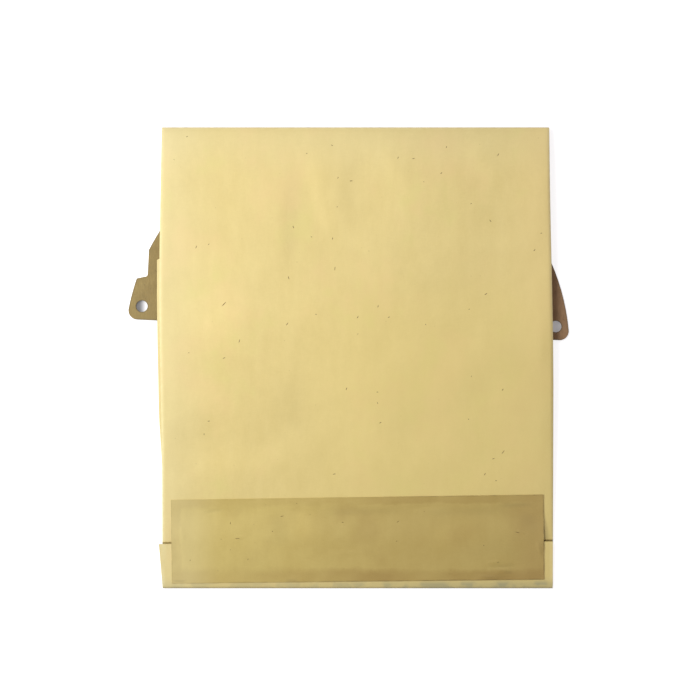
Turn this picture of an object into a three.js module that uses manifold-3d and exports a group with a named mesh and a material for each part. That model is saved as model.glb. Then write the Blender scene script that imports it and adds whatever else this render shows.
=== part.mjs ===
// A flat-folded paper vacuum dust bag, lying face up on its card collar.
// Millimetres, +Z up, +Y from the folded and taped mouth towards the block base.
// The bag is one folded sheet of paper: a tube with a gusset tucked in at each side, a block base
// folded back against its underside, and a mouth folded over onto its face and taped down.
// The collar is glued to the block base, and its two holed tabs stand out at the sides.

import * as THREE from 'three';
import { mergeVertices } from 'three/addons/utils/BufferGeometryUtils.js';
import Module from 'manifold-3d';

const wasm = await Module();
wasm.setup();

// Paper
const paper = 0.3;            // two-ply bag paper
const crease = 0.3;           // air left between two layers that lie on each other
const glueLine = 0.1;         // glue in the pressed mouth

// Bag
const bagWidth = 256;
const bagLength = 300;        // from the mouth fold to the base fold
const sideDepth = 85;         // depth of the bag when it is opened
const crownHeight = 12.8;     // of the face above the table, at its highest
const crownOffset = 40;       // from the middle of the bag towards the base
const baseFoldHeight = 7.2;   // of the face above the table, at the base fold
const noseWall = 2.5;         // paper doubled over inside the base fold
const noseRadius = 1.3;       // of the base fold's lower edge
const fullness = 1.3;         // how slowly the bag opens out behind its pressed mouth

// Side edges, which aren't quite straight
const rightTaper = 2.6;       // the right edge runs in this far on its way to the base
const taperLength = 175;
const leftBow = 1.6;          // the left edge bows out this far, and runs in towards both ends
const bowReach = 130;
const bowCentre = 45;         // from the middle of the bag towards the base
const edgeBand = 12;          // width over which the face rolls down to a side fold
const faceRoll = 0.28;        // share of the bag's height that the face falls by there
const panelRoll = 0.14;       // share that the lower panel rises by

// Lower panel
const panelShift = 1.8;       // it is folded this far off to the left
const shiftLength = 145;      // and comes back under the face over this length
const panelRun = 20;          // how far it takes to come down off the folded base
const drapeRun = 25;          // and off the collar

// Mouth
const mouthFold = 30.5;       // depth of the flap folded onto the face
const flapSkew = 2.4;         // the flap's free corner stands out this far at the left
const flapTrim = 0.2;         // the flap is this much shorter than the bag at each side

// Closing strip
const stripInset = 4.5;       // from the mouth fold to the strip
const stripLap = 29.4;        // what the strip covers of the face past the flap
const stripMargin = 6.75;     // from the strip to each side of the bag
const stripShift = 0.8;
const stripTurn = 0.008;      // radians
const stripPaper = 0.25;
const stripRamp = 5;          // the strip comes down off the flap over this length

// Inlet and its rubber seal
const inletRadius = 30;
const sealInnerRadius = 23;
const sealOuterRadius = 35;
const sealThickness = 0.7;
const lipWidth = 2.6;
const lipHeight = 1.7;

// Collar
const collarThickness = 2.2;
const collarRadius = 145;
const collarTopTrim = 1.5;    // cut off the top of the arc
const sealMargin = 5.1;       // board left between the seal's seat and the top
const chordToArc = 13.8;      // from the arc's centre to the straight edge
const collarCorner = 6;
const collarEdgeRound = 0.25;
const collarTurn = -0.049;    // the collar is glued on a little askew, in radians
const collarShift = -1;

// Tab holes, and the notch over the left tab that keys the collar to the machine
const tabHoleRadius = 3.75;
const tabHoleMargin = 4.5;    // board left outside each hole
const tabHoleToChord = 8.8;
const notchCut = 12.8;        // depth of the notch from the arc, along the straight edge
const notchFoot = 17.9;       // above the tab hole, at the arc
const notchRise = 1.4;        // slope of the notch's foot
const notchFillet = 2;

const gusset = sideDepth / 2;
const mouthY = -bagLength / 2;
const baseY = bagLength / 2;
const baseEdgeY = baseY - sideDepth;
const inletY = baseY - gusset;
const flapEdgeY = mouthY + mouthFold;

// The collar about the inlet's centre
const seatRadius = sealOuterRadius + crease;
const arcY = sealMargin + seatRadius + collarTopTrim - collarRadius;
const chordY = arcY + chordToArc;
const tabHoleY = chordY + tabHoleToChord;
const tabHoleX = Math.sqrt(collarRadius ** 2 - (tabHoleY - arcY) ** 2) - tabHoleMargin - tabHoleRadius;

// Stacked heights over the collar: folded base, its return, then the lower panel
const basePly = 2 * paper;
const baseLift = collarThickness + crease;
const returnLift = baseLift + basePly + crease;
const returnTop = returnLift + paper;
const panelLift = returnTop + crease;

// Heights in the pressed mouth, and the fold that turns it over onto the face
const mouthStack = 4 * paper + glueLine;
const turnRadius = mouthStack + crease / 2;
const turnY = mouthY + turnRadius;
const pressedY = turnY + mouthStack;

// The lower panel meets the collar where the askew straight edge reaches lowest
const chordReach = collarRadius * Math.abs(Math.sin(collarTurn));
const drapeTopY = inletY + chordY * Math.cos(collarTurn) - chordReach - crease;

const ease = (t) => {
  const s = Math.min(1, Math.max(0, t));
  return s * s * (3 - 2 * s);
};
const mix = (a, b, t) => a + (b - a) * t;
const spread = (from, to, count) => Array.from({ length: count }, (_, i) => mix(from, to, i / count));

// Underside of the lower panel: on the table, up onto the collar, up over the folded base
function undersideHeight(y) {
  const ontoCollar = baseLift * ease((y - (drapeTopY - drapeRun)) / drapeRun);
  const ontoBase = (panelLift - baseLift) * ease((y - (baseEdgeY - panelRun)) / panelRun);
  return ontoCollar + ontoBase;
}

// Crest of the face: opens out from the pressed mouth and rolls over at the base fold
function crestHeight(y) {
  if (y > crownOffset) {
    const toBase = Math.min(1, (y - crownOffset) / (baseY - crownOffset));
    return baseFoldHeight + (crownHeight - baseFoldHeight) * Math.sqrt(1 - toBase ** 4);
  }
  const opened = Math.max(0, (y - pressedY) / (crownOffset - pressedY));
  return mouthStack + (crownHeight - mouthStack) * Math.sin(opened * Math.PI / 2) ** fullness;
}

const faceFall = (y) => faceRoll * (crestHeight(y) - undersideHeight(y));
const panelRise = (y) => panelRoll * (crestHeight(y) - undersideHeight(y));

// Distance of each side fold from the bag's centreline; side is -1 at the left and 1 at the right
function faceEdge(side, y) {
  const inward = side > 0
    ? rightTaper * ease((y - (baseY - taperLength)) / taperLength)
    : leftBow * ease(Math.abs(y - bowCentre) / bowReach);
  return bagWidth / 2 - inward;
}

function panelEdge(side, y) {
  if (y >= baseEdgeY) return faceEdge(side, y) - paper;
  const shifted = ease(3 * (y - (baseEdgeY - shiftLength)) / shiftLength);
  return faceEdge(side, y) - side * panelShift * shifted;
}

// The gusset is pressed shut at the mouth, and runs out to the base's corners on a diagonal
function gussetDepth(y) {
  const opened = gusset * ease((y - pressedY) / mouthFold);
  return Math.max(noseRadius, Math.min(opened, baseY - y));
}

// Height of the face at any point of it
function faceHeight(x, y) {
  const depth = faceEdge(x < 0 ? -1 : 1, y) - Math.abs(x);
  return crestHeight(y) - faceFall(y) * Math.max(0, 1 - depth / edgeBand) ** 2;
}

// The face and the lower panel roll towards their folds, in steps that are shares of the edge band
const rollOff = (edge, level, roll, steps) =>
  steps.map((step) => [edge - step * edgeBand, level + roll * (1 - step) ** 2]);

// Half of the tube's outer section, from the face down to the lower panel
function outerHalf(side, y) {
  const high = crestHeight(y);
  const low = undersideHeight(y);
  const fold = Math.min(paper, (high - low) / 8);
  const upper = faceEdge(side, y);
  const lower = panelEdge(side, y);
  const upperFold = high - faceFall(y);
  const lowerFold = low + panelRise(y);
  return [
    ...rollOff(upper, high, -faceFall(y), [1, 0.5, 0.25, 0.1]),
    [upper - fold, upperFold],
    [upper, upperFold - fold],
    [upper - fold, upperFold - 2 * fold],
    [upper - gussetDepth(y), (upperFold + lowerFold) / 2],
    [lower - fold, lowerFold + 2 * fold],
    [lower, lowerFold + fold],
    [lower - fold, lowerFold],
    ...rollOff(lower, low, panelRise(y), [0.4, 1]),
  ];
}

// The same half of the hollow inside, one paper thickness in
function innerHalf(side, y) {
  const high = crestHeight(y) - paper;
  const low = undersideHeight(y) + paper;
  const upper = faceEdge(side, y);
  const lower = panelEdge(side, y);
  const upperFold = high - faceFall(y);
  const lowerFold = low + panelRise(y);
  const apex = (upperFold + lowerFold) / 2;
  const depth = gussetDepth(y);
  const apexInset = paper * depth / Math.max(paper, upperFold - paper - apex);
  return [
    ...rollOff(upper, high, -faceFall(y), [1, 0.5, 0.25]),
    [upper - 4 * paper, upperFold],
    [upper - depth - apexInset, apex],
    [lower - 4 * paper, lowerFold],
    ...rollOff(lower, low, panelRise(y), [0.4, 1]),
  ];
}

const section = (half, y) => [
  ...half(1, y).map(([x, z]) => [x, y, z]),
  ...half(-1, y).reverse().map(([x, z]) => [-x, y, z]),
];

// Faces over a loop whose points pair up across it, the first with the last
function pairedCap(loop) {
  const faces = [];
  for (let i = 0; i < loop.length / 2 - 1; i += 1) {
    const across = loop.length - 1 - i;
    faces.push([i, i + 1, across - 1], [i, across - 1, across]);
  }
  return faces;
}

// A closed body through loops that run anticlockwise about the direction of the loft
function closedLoft(loops, capFaces) {
  const count = loops[0].length;
  const last = loops.length - 1;
  const index = [];
  for (let row = 0; row < last; row += 1) {
    for (let i = 0; i < count; i += 1) {
      const a = row * count + i;
      const b = row * count + (i + 1) % count;
      index.push(a, b, a + count, b, b + count, a + count);
    }
  }
  capFaces(loops[0]).forEach(([a, b, c]) => index.push(a, c, b));
  capFaces(loops[last]).forEach((face) => index.push(...face.map((corner) => corner + last * count)));
  const geometry = new THREE.BufferGeometry();
  geometry.setAttribute('position', new THREE.Float32BufferAttribute(loops.flat(2), 3));
  geometry.setIndex(index);
  return geometry;
}

function toSolid(geometry) {
  const bare = geometry.clone();
  bare.deleteAttribute('normal');
  bare.deleteAttribute('uv');
  const merged = mergeVertices(bare, 1e-4);
  return new wasm.Manifold(new wasm.Mesh({
    numProp: 3,
    vertProperties: Float32Array.from(merged.attributes.position.array),
    triVerts: Uint32Array.from(merged.index.array),
  }));
}

function toGeometry(solid) {
  const mesh = solid.getMesh();
  const geometry = new THREE.BufferGeometry();
  geometry.setAttribute('position', new THREE.Float32BufferAttribute(mesh.vertProperties, 3));
  geometry.setIndex(Array.from(mesh.triVerts));
  geometry.computeVertexNormals();
  return geometry;
}

function solidBox(low, high) {
  const size = low.map((value, axis) => high[axis] - value);
  const geometry = new THREE.BoxGeometry(...size);
  return toSolid(geometry.translate(...low.map((value, axis) => value + size[axis] / 2)));
}

function solidCylinder(radius, low, high, x = 0, y = 0) {
  const geometry = new THREE.CylinderGeometry(radius, radius, high - low, 64);
  return toSolid(geometry.rotateX(Math.PI / 2).translate(x, y, (low + high) / 2));
}

// Where the tube is cut into sections, closest where it bends most
const noseSteps = [6, 3.5, 1.6, 0.5, 0];
const stations = [
  turnY,
  ...spread(pressedY, flapEdgeY, 4),
  ...spread(flapEdgeY, drapeTopY - drapeRun, 7),
  ...spread(drapeTopY - drapeRun, drapeTopY, 4),
  ...spread(drapeTopY, baseEdgeY - panelRun, 2),
  ...spread(baseEdgeY - panelRun, baseEdgeY - crease, 4),
  baseEdgeY - crease,
  ...spread(baseEdgeY, inletY, 2),
  ...spread(inletY, baseY - noseSteps[0], 5),
  ...noseSteps.map((step) => baseY - step),
];
const hollowStart = mix(mouthY, flapEdgeY, 0.85);
const hollowEnd = baseY - noseWall;

function tube() {
  return toSolid(closedLoft(stations.map((y) => section(outerHalf, y)), pairedCap));
}

function tubeHollow() {
  const between = stations.filter((y) => y > hollowStart + 1 && y < hollowEnd - 0.5);
  const loops = [hollowStart, ...between, hollowEnd].map((y) => section(innerHalf, y));
  return toSolid(closedLoft(loops, pairedCap));
}

// A profile in Y and Z, run across the bag between two ends that may lean
function acrossBag(profile, leftX, rightX) {
  const flat = profile.map(([y, z]) => new THREE.Vector2(y, z));
  const ordered = THREE.ShapeUtils.isClockWise(flat) ? [...profile].reverse() : profile;
  const loops = [leftX, rightX].map((edge) => ordered.map(([y, z]) => [edge(y), y, z]));
  const capFaces = (loop) =>
    THREE.ShapeUtils.triangulateShape(loop.map(([, y, z]) => new THREE.Vector2(y, z)), []);
  return toSolid(closedLoft(loops, capFaces));
}

function arcPoints(y, z, radius, from, to, count) {
  return Array.from({ length: count + 1 }, (_, i) => {
    const angle = mix(from, to, i / count);
    return [y + radius * Math.cos(angle), z + radius * Math.sin(angle)];
  });
}

// Mouth: the pressed tube turns over its fold and lies on the face as a flap
function mouthFlap() {
  const under = [...spread(pressedY, flapEdgeY, 5), flapEdgeY].map((y) => [y, crestHeight(y) + crease]);
  const over = under.map(([y, z]) => [y, z + mouthStack]).reverse();
  const profile = [
    ...under,
    ...over,
    ...arcPoints(turnY, turnRadius, turnRadius, Math.PI / 2, 3 * Math.PI / 2, 8),
    [pressedY, 0],
    [pressedY, mouthStack - glueLine],
    [turnY, mouthStack],
    [turnY, mouthStack + crease],
  ];
  const skew = (y) => flapSkew * (y - mouthY) / mouthFold;
  return acrossBag(profile, (y) => flapTrim - faceEdge(-1, y) - skew(y), (y) => faceEdge(1, y) - flapTrim);
}

// Base: the rectangle folded back under the bag, its return, and the turn up into the lower panel
function foldedBase() {
  const edge = (side) => (y) => side * (faceEdge(side, Math.max(y, inletY)) - basePly);
  const turn = (returnTop - baseLift) / 2;
  return acrossBag([
    ...arcPoints(baseEdgeY + turn, baseLift + turn, turn, Math.PI / 2, 3 * Math.PI / 2, 6),
    ...arcPoints(baseY - noseRadius, baseLift + noseRadius, noseRadius, -Math.PI / 2, 0, 3),
    [baseY, panelLift + paper / 2],
    [inletY - paper, panelLift + paper / 2],
    [inletY - paper, returnTop],
  ], edge(-1), edge(1));
}

// Air inside the folded base: under its return, and up past the lower panel's end
function baseHollow() {
  const floor = baseLift + basePly;
  const reach = Math.min(faceEdge(-1, baseY), faceEdge(1, baseY)) - 4 * paper;
  const pocket = solidBox([-reach, baseEdgeY + basePly + paper, floor], [reach, inletY + paper, returnLift]);
  const opening = reach - edgeBand / 2;
  const wayUp = solidBox([-opening, inletY, floor], [opening, hollowEnd, panelLift + 1.2 * paper]);
  return pocket.add(wayUp);
}

function paperBag() {
  const bag = tube().add(foldedBase()).add(mouthFlap()).subtract(tubeHollow()).subtract(baseHollow());
  const aboveHole = baseLift + basePly + crease / 2;
  return bag.subtract(solidCylinder(inletRadius, collarThickness, aboveHole, collarShift, inletY));
}

// The strip lies on the flap, comes down off its free edge and lies on the face
function closingStrip() {
  const length = bagWidth - 2 * stripMargin;
  const width = mouthFold - stripInset + stripLap;
  const centreY = mouthY + stripInset + width / 2;
  const place = (u, v, lift) => {
    const x = stripShift + u * Math.cos(stripTurn) - v * Math.sin(stripTurn);
    const y = centreY + u * Math.sin(stripTurn) + v * Math.cos(stripTurn);
    const onFlap = 1 - ease((y - flapEdgeY - crease) / stripRamp);
    const flapTop = crestHeight(y) + crease + mouthStack;
    return [x, y, mix(faceHeight(x, y), flapTop, onFlap) + crease + lift];
  };
  const across = [...spread(length / 2, -length / 2, 12), -length / 2];
  const along = [...spread(-width / 2, width / 2, 14), width / 2];
  const loops = along.map((v) => [
    ...across.map((u) => place(u, v, 0)),
    ...[...across].reverse().map((u) => place(u, v, stripPaper)),
  ]);
  return toSolid(closedLoft(loops, pairedCap));
}

// The collar's outline: an arc over a straight edge, with a notch in the arc at the left
function collarOutline() {
  const cornerY = chordY + collarCorner;
  const cornerX = Math.sqrt((collarRadius - collarCorner) ** 2 - (cornerY - arcY) ** 2);
  const cornerAngle = Math.atan2(cornerY - arcY, cornerX);
  const topAngle = Math.asin(1 - collarTopTrim / collarRadius);
  const footY = tabHoleY + notchFoot;
  const footAngle = Math.PI - Math.asin((footY - arcY) / collarRadius);
  const notchX = notchCut - collarRadius;
  const notchTopAngle = Math.acos(notchX / collarRadius);
  const shape = new THREE.Shape();
  shape.moveTo(-cornerX, chordY);
  shape.lineTo(cornerX, chordY);
  shape.absarc(cornerX, cornerY, collarCorner, -Math.PI / 2, cornerAngle, false);
  shape.absarc(0, arcY, collarRadius, cornerAngle, topAngle, false);
  shape.absarc(0, arcY, collarRadius, Math.PI - topAngle, notchTopAngle, false);
  shape.lineTo(notchX, footY + notchRise + notchFillet);
  shape.quadraticCurveTo(notchX, footY + notchRise, notchX - notchFillet, footY + notchRise);
  shape.absarc(0, arcY, collarRadius, footAngle, Math.PI - cornerAngle, false);
  shape.absarc(-cornerX, cornerY, collarCorner, Math.PI - cornerAngle, 3 * Math.PI / 2, false);
  [-tabHoleX, tabHoleX].forEach((x) => {
    shape.holes.push(new THREE.Path().absarc(x, tabHoleY, tabHoleRadius, 0, 2 * Math.PI, true));
  });
  return shape;
}

function collarCard() {
  const board = new THREE.ExtrudeGeometry(collarOutline(), {
    depth: collarThickness - 2 * collarEdgeRound,
    bevelThickness: collarEdgeRound,
    bevelSize: collarEdgeRound,
    bevelOffset: -collarEdgeRound,
    bevelSegments: 1,
    curveSegments: 14,
  });
  const aboveBoard = collarThickness + crease;
  const inlet = solidCylinder(inletRadius, -crease, aboveBoard);
  const seat = solidCylinder(seatRadius, collarThickness - sealThickness - crease, aboveBoard);
  return toSolid(board.translate(0, 0, collarEdgeRound)).subtract(inlet).subtract(seat);
}

// A flat rubber ring with a thicker rounded lip, seated in the collar
function inletSeal() {
  const bottom = collarThickness - sealThickness;
  const middle = collarThickness - sealThickness / 2;
  const web = sealInnerRadius + lipWidth;
  const bulge = lipWidth / 4;
  const profile = [
    [sealOuterRadius, bottom],
    [sealOuterRadius, collarThickness],
    [web, collarThickness],
    [web - bulge, middle + lipHeight / 2],
    [sealInnerRadius + bulge, middle + lipHeight / 2],
    [sealInnerRadius, middle],
    [sealInnerRadius + bulge, middle - lipHeight / 2],
    [web - bulge, middle - lipHeight / 2],
    [web, bottom],
    [sealOuterRadius, bottom],
  ].map(([radius, height]) => new THREE.Vector2(radius, height));
  return toSolid(new THREE.LatheGeometry(profile, 48).rotateX(Math.PI / 2));
}

const finish = (name, color, roughness) =>
  new THREE.MeshStandardMaterial({ name, color, roughness, metalness: 0 });

function part(name, solid, material) {
  const mesh = new THREE.Mesh(toGeometry(solid), material);
  mesh.name = name;
  return mesh;
}

const collar = new THREE.Group();
collar.position.set(collarShift, inletY, 0);
collar.rotation.z = collarTurn;
collar.add(part('collar_card', collarCard(), finish('grey-brown board', 0xa58e60, 0.9)));
collar.add(part('inlet_seal', inletSeal(), finish('dark rubber', 0x2b2a29, 0.6)));

const dustBag = new THREE.Group();
dustBag.add(part('paper_bag', paperBag(), finish('straw paper', 0xe2cf8c, 0.85)));
dustBag.add(part('closing_strip', closingStrip(), finish('olive-buff paper', 0xbda764, 0.8)));
dustBag.add(collar);

// The origin is under the middle of the whole part, on the table
const centre = new THREE.Box3().setFromObject(dustBag, true).getCenter(new THREE.Vector3());
dustBag.position.set(-centre.x, -centre.y, 0);

export default dustBag;
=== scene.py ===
import functools
import itertools
import math

import bmesh
import bpy
import numpy as np
from mathutils import Matrix, Vector


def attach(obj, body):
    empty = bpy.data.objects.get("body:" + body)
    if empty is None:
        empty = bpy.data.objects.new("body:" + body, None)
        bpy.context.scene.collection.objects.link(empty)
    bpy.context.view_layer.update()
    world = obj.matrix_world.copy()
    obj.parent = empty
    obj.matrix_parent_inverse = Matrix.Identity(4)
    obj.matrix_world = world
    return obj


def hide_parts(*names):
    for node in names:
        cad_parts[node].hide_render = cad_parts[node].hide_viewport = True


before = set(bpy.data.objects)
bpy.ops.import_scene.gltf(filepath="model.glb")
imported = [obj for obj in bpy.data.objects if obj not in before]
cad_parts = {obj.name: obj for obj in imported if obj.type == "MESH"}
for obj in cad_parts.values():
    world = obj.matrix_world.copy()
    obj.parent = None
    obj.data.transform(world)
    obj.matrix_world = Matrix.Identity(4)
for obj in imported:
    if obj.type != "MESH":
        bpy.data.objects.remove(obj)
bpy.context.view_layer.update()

# A flat-folded paper vacuum dust bag, face up on its card collar.
# Sizes are in millimetres from the middle of the bag, +Y towards the block base, until object_from
# turns them into metres in the row's frame. Materials and node trees work in metres.
MM = 0.001
BAG_X = 5.081                # the bag's middle lies this far to the right of the row's origin

# Paper
PAPER = 0.3
WALL = 1.6 * PAPER           # the hollow stays this far in, a little more than one paper
CREASE = 0.3
GLUE_LINE = 0.1

# Bag
BAG_WIDTH = 256
MOUTH_Y = -150
BASE_Y = 150
SIDE_DEPTH = 85
CROWN_HEIGHT = 12.8
CROWN_Y = 40
BASE_FOLD_HEIGHT = 7.2
NOSE_WALL = 2.5
NOSE_RADIUS = 1.3
NOSE_STEPS = (14, 11, 8.6, 6.6, 5, 3.7, 2.7, 1.9, 1.2, 0.7, 0.33, 0.1, 0)
FULLNESS = 1.3
GUSSET = SIDE_DEPTH / 2
BASE_EDGE_Y = BASE_Y - SIDE_DEPTH
INLET_X = -1
INLET_Y = BASE_Y - GUSSET
INLET_RADIUS = 30
HOLE_SIDES = 96
SEAM_X = BAG_X - 22          # the cut edge of the tube's overlap, from the frame's origin
FACE_WAVES = ((0.24, 88, 4), (0.11, 34, 9), (0.028, 13, 21))    # height, length, seed
FLAP_WAVE = (0.10, 46, 31)
GAP_DEPTH = 0.9              # of the slit beside the flap's free edge

# Side edges and the lower panel
RIGHT_TAPER = 2.6            # the right edge runs in this far on its way to the base
TAPER_LENGTH = 175
LEFT_BOW = 1.6               # the left edge bows out this far, and runs in towards both ends
BOW_CENTRE = 45
BOW_REACH = 130
SIDE_FOLD = 0.42             # radius of the folds along the sides
EDGE_BAND = 12
FOLD_BAND = 2.6              # the face rolls down most over this width beside each side fold
WIDE_ROLL = 0.05             # shares of the bag's depth that the face rolls down by
NARROW_ROLL = 0.07
PANEL_ROLL = 0.14            # share that the lower panel rises by
PANEL_SHIFT = 1.8
SHIFT_LENGTH = 145
PANEL_START = 1.2            # the shifted panel steps out over this length, at the base's edge

# Mouth
MOUTH_FOLD = 30.5
FLAP_EDGE_Y = MOUTH_Y + MOUTH_FOLD
FLAP_SKEW = 2.4
FLAP_TILT = 1.7
FLAP_TRIM = 0.2
MOUTH_PLIES = 4
PLY_COLUMNS = 96
MOUTH_STACK = MOUTH_PLIES * PAPER + GLUE_LINE
PLY_PITCH = MOUTH_STACK / MOUTH_PLIES
PLY_ENDS = (0, -0.35, 0.1, -0.2)      # how far each ply reaches past the flap's edge
PLY_INSETS = (0, 0.28, 0.08, 0.36)    # how far each ply stays back at the sides
TURN_RADIUS = MOUTH_STACK + CREASE / 2
TURN_Y = MOUTH_Y + TURN_RADIUS
PRESSED_Y = TURN_Y + MOUTH_STACK

# Closing strip
STRIP_LENGTH = 242.5
STRIP_WIDTH = 55.4
STRIP_X = 0.8
STRIP_INSET = 4.5            # from the mouth's fold
STRIP_Y = MOUTH_Y + STRIP_INSET + STRIP_WIDTH / 2
STRIP_TURN = 0.0105
STRIP_TAPER = 0.9
STRIP_COLUMNS = 281
STRIP_ROWS = 73
STRIP_PAPER = 0.25
STRIP_RAMP = 22
STRIP_GLUE = 0.06

# Collar and its seal
COLLAR_THICKNESS = 2.2
BOARD_PLY = 0.00055          # of the ply lines on the board's cut edge, in metres
COLLAR_TURN = -0.049
COLLAR_RADIUS = 145
ARC_Y = -103.1               # of the arc's centre, from the inlet
CHORD_Y = ARC_Y + 13.8
TAB_HOLE_X = 135.0
TAB_HOLE_Y = CHORD_Y + 8.8
TAB_HOLE_RADIUS = 3.75
SEAL_INNER = 23
SEAL_OUTER = 35
SEAL_THICKNESS = 0.7
LIP_WIDTH = 2.6
LIP_HEIGHT = 1.7

# Heights over the collar
BASE_PLY = 2 * PAPER
BASE_LIFT = COLLAR_THICKNESS + CREASE
RETURN_LIFT = BASE_LIFT + BASE_PLY + CREASE
RETURN_TOP = RETURN_LIFT + PAPER
PANEL_LIFT = RETURN_TOP + CREASE
DRAPE_TOP_Y = 10.9
DRAPE_RUN = 25
PANEL_RUN = 20


def ease(t):
    t = np.clip(t, 0, 1)
    return t * t * (3 - 2 * t)


def mix(a, b, t):
    return a + (b - a) * t


def swell(x, y, length, seed):
    """Soft unevenness, about -1 to 1, with waves about as long as given."""
    chance = np.random.default_rng(seed)
    total = 0
    for _ in range(10):
        heading = chance.uniform(0, 2 * math.pi)
        wave = length * chance.uniform(0.65, 1.6)
        along = x * math.cos(heading) + y * math.sin(heading)
        total = total + np.sin(2 * math.pi * (along / wave + chance.uniform(0, 1)))
    return total / 3.2


# Soft creases in the face: the two ends, half the width, and the height
FACE_CREASES = (
    (-29, 133, -16, 92, 7.0, 0.30), (-9, 131, -13, 92, 6.0, 0.26), (17, 137, 34, 104, 4.5, 0.17),
    (-43, 114, -41, 36, 6.5, -0.24), (-45, 10, -44, -54, 3.2, 0.09),
    (-95, 128, -70, 96, 9.0, -0.14), (58, 120, 96, 98, 8.0, 0.16),
    (-100, -62, -20, -70, 11.0, 0.26), (-20, -70, 96, -64, 12.0, 0.24),
    (60, 44, 84, -18, 9.0, -0.16), (12, 20, -6, -34, 7.0, 0.13), (-92, 52, -64, 20, 8.0, 0.14),
    (92, 20, 104, -62, 8.0, 0.14), (-37, 146, -16, 78, 2.4, 0.13), (-18, 78, -4, 116, 2.2, 0.08),
    (13, 146, 36, 84, 2.4, 0.13), (70, 142, 92, 112, 2.4, 0.09), (-44, 128, -45, 60, 2.6, -0.10),
)

# Paler and darker patches on the face, in the same form; the last value is how strong, -1 to 1
FACE_TONES = (
    (-36, 148, -15, 66, 8.0, 0.85), (-42, 132, -43, 52, 5.5, -0.95), (0, 144, -9, 84, 7.0, -0.6),
    (14, 150, 24, 70, 15.0, 0.55), (16, 142, 40, 90, 3.0, 0.5), (68, 146, 92, 108, 7.0, 0.45),
    (-106, 126, -92, 60, 12.0, -0.35), (-120, 22, -66, 22, 22.0, 0.6),
    (-52, 30, -10, 26, 13.0, 0.35), (62, -30, 124, 26, 13.0, -0.85),
    (4, -52, 84, -16, 13.0, -0.8), (-44, -6, -40, -56, 11.0, -0.75),
    (-132, -52, -88, -36, 12.0, -0.6), (58, -92, 140, -50, 12.0, 0.95),
    (-118, -72, -36, -64, 10.0, 0.7), (-20, -84, 44, -80, 9.0, -0.35),
    (20, 40, 110, 66, 14.0, -0.3), (88, 60, 98, 14, 9.0, 0.4),
)

# Small puckers in the glued strip, in the same form
STRIP_PUCKERS = (
    (-97, -100, -87, -98.8, 1.0, -0.16), (-115, -104, -112, -122, 1.3, 0.16),
    (-80, -117, -72, -116, 1.0, 0.16), (104, -112.3, 110.5, -114.6, 0.8, 0.26),
    (117.6, -119, 120.4, -129, 0.8, 0.22), (84, -133.4, 94, -132.4, 0.8, 0.2),
    (82, -136.8, 108, -135, 1.2, -0.2), (91, -137.6, 99, -139.2, 0.9, 0.24),
    (108, -140, 113.5, -142.6, 0.7, 0.2), (78, -142.0, 94, -143.2, 0.9, 0.22),
    (-20, -128, 10, -126, 2.0, 0.12), (30, -98, 62, -96.4, 1.4, -0.12),
)

# Where more or less glue has soaked through the strip, in the same form
GLUE_PATCHES = (
    (83, -136, 107, -135, 1.7, 0.5), (95, -139, 103, -139.8, 1.1, 0.9),
    (80, -142.8, 101, -143.2, 1.7, 0.6), (120, -116, 121.5, -132, 1.7, 0.6),
    (106, -100, 120, -114, 5.0, 0.4), (90, -96, 117, -95.4, 1.3, 0.9),
    (36, -101, 108, -98.6, 2.8, 0.4), (-100, -100, -84, -98.5, 1.1, 0.6),
    (-121, -145.2, -110, -145.4, 0.6, 1.3), (-47, -144.8, -37, -145, 0.7, 1.2),
    (-52, -98, -50, -126, 5.5, 0.4), (-36, -94, -33, -122, 7.0, -0.45),
    (-118, -104, -114, -140, 2.2, -0.4), (-30, -101, 40, -99, 2.6, 0.45),
    (40, -118, 84, -112, 9.0, -0.3), (-100, -132, -40, -138, 8.0, 0.2),
    (60, -128, 112, -122, 8.0, 0.22),
)


def ridge_sum(x, y, ridges):
    """Soft straight ridges, laid over each other."""
    total = 0
    for ax, ay, bx, by, half_width, height in ridges:
        length = math.hypot(bx - ax, by - ay)
        ux, uy = (bx - ax) / length, (by - ay) / length
        along = (x - ax) * ux + (y - ay) * uy
        off = (x - ax) * uy - (y - ay) * ux
        runs = ease(along / (0.35 * length)) * ease((length - along) / (0.35 * length))
        total = total + height * runs * np.exp(-((off / half_width) ** 2))
    return total


def underside_height(y):
    onto_collar = BASE_LIFT * ease((y - (DRAPE_TOP_Y - DRAPE_RUN)) / DRAPE_RUN)
    onto_base = (PANEL_LIFT - BASE_LIFT) * ease((y - (BASE_EDGE_Y - PANEL_RUN)) / PANEL_RUN)
    return onto_collar + onto_base


def crest_height(y):
    to_base = np.clip((y - CROWN_Y) / (BASE_Y - CROWN_Y), 0, 1)
    over_base = BASE_FOLD_HEIGHT + (CROWN_HEIGHT - BASE_FOLD_HEIGHT) * np.sqrt(1 - to_base**4)
    opened = np.clip((y - PRESSED_Y) / (CROWN_Y - PRESSED_Y), 0, 1)
    swelled = np.sin(opened * math.pi / 2) ** FULLNESS
    over_mouth = MOUTH_STACK + (CROWN_HEIGHT - MOUTH_STACK) * swelled
    return np.where(y > CROWN_Y, over_base, over_mouth)


def bag_depth(y):
    return crest_height(y) - underside_height(y)


def face_edge(side, y):
    if side > 0:
        return BAG_WIDTH / 2 - RIGHT_TAPER * ease((y - (BASE_Y - TAPER_LENGTH)) / TAPER_LENGTH)
    return BAG_WIDTH / 2 - LEFT_BOW * ease(np.abs(y - BOW_CENTRE) / BOW_REACH)


def panel_edge(side, y):
    """The lower panel steps out to the left at the base's edge, and comes back further down."""
    steps_out = ease((BASE_EDGE_Y - y) / PANEL_START)
    back = ease(3 * (y - (BASE_EDGE_Y - SHIFT_LENGTH)) / SHIFT_LENGTH)
    tucked = PAPER * (1 - steps_out)
    return face_edge(side, y) - tucked - side * PANEL_SHIFT * steps_out * back


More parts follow.
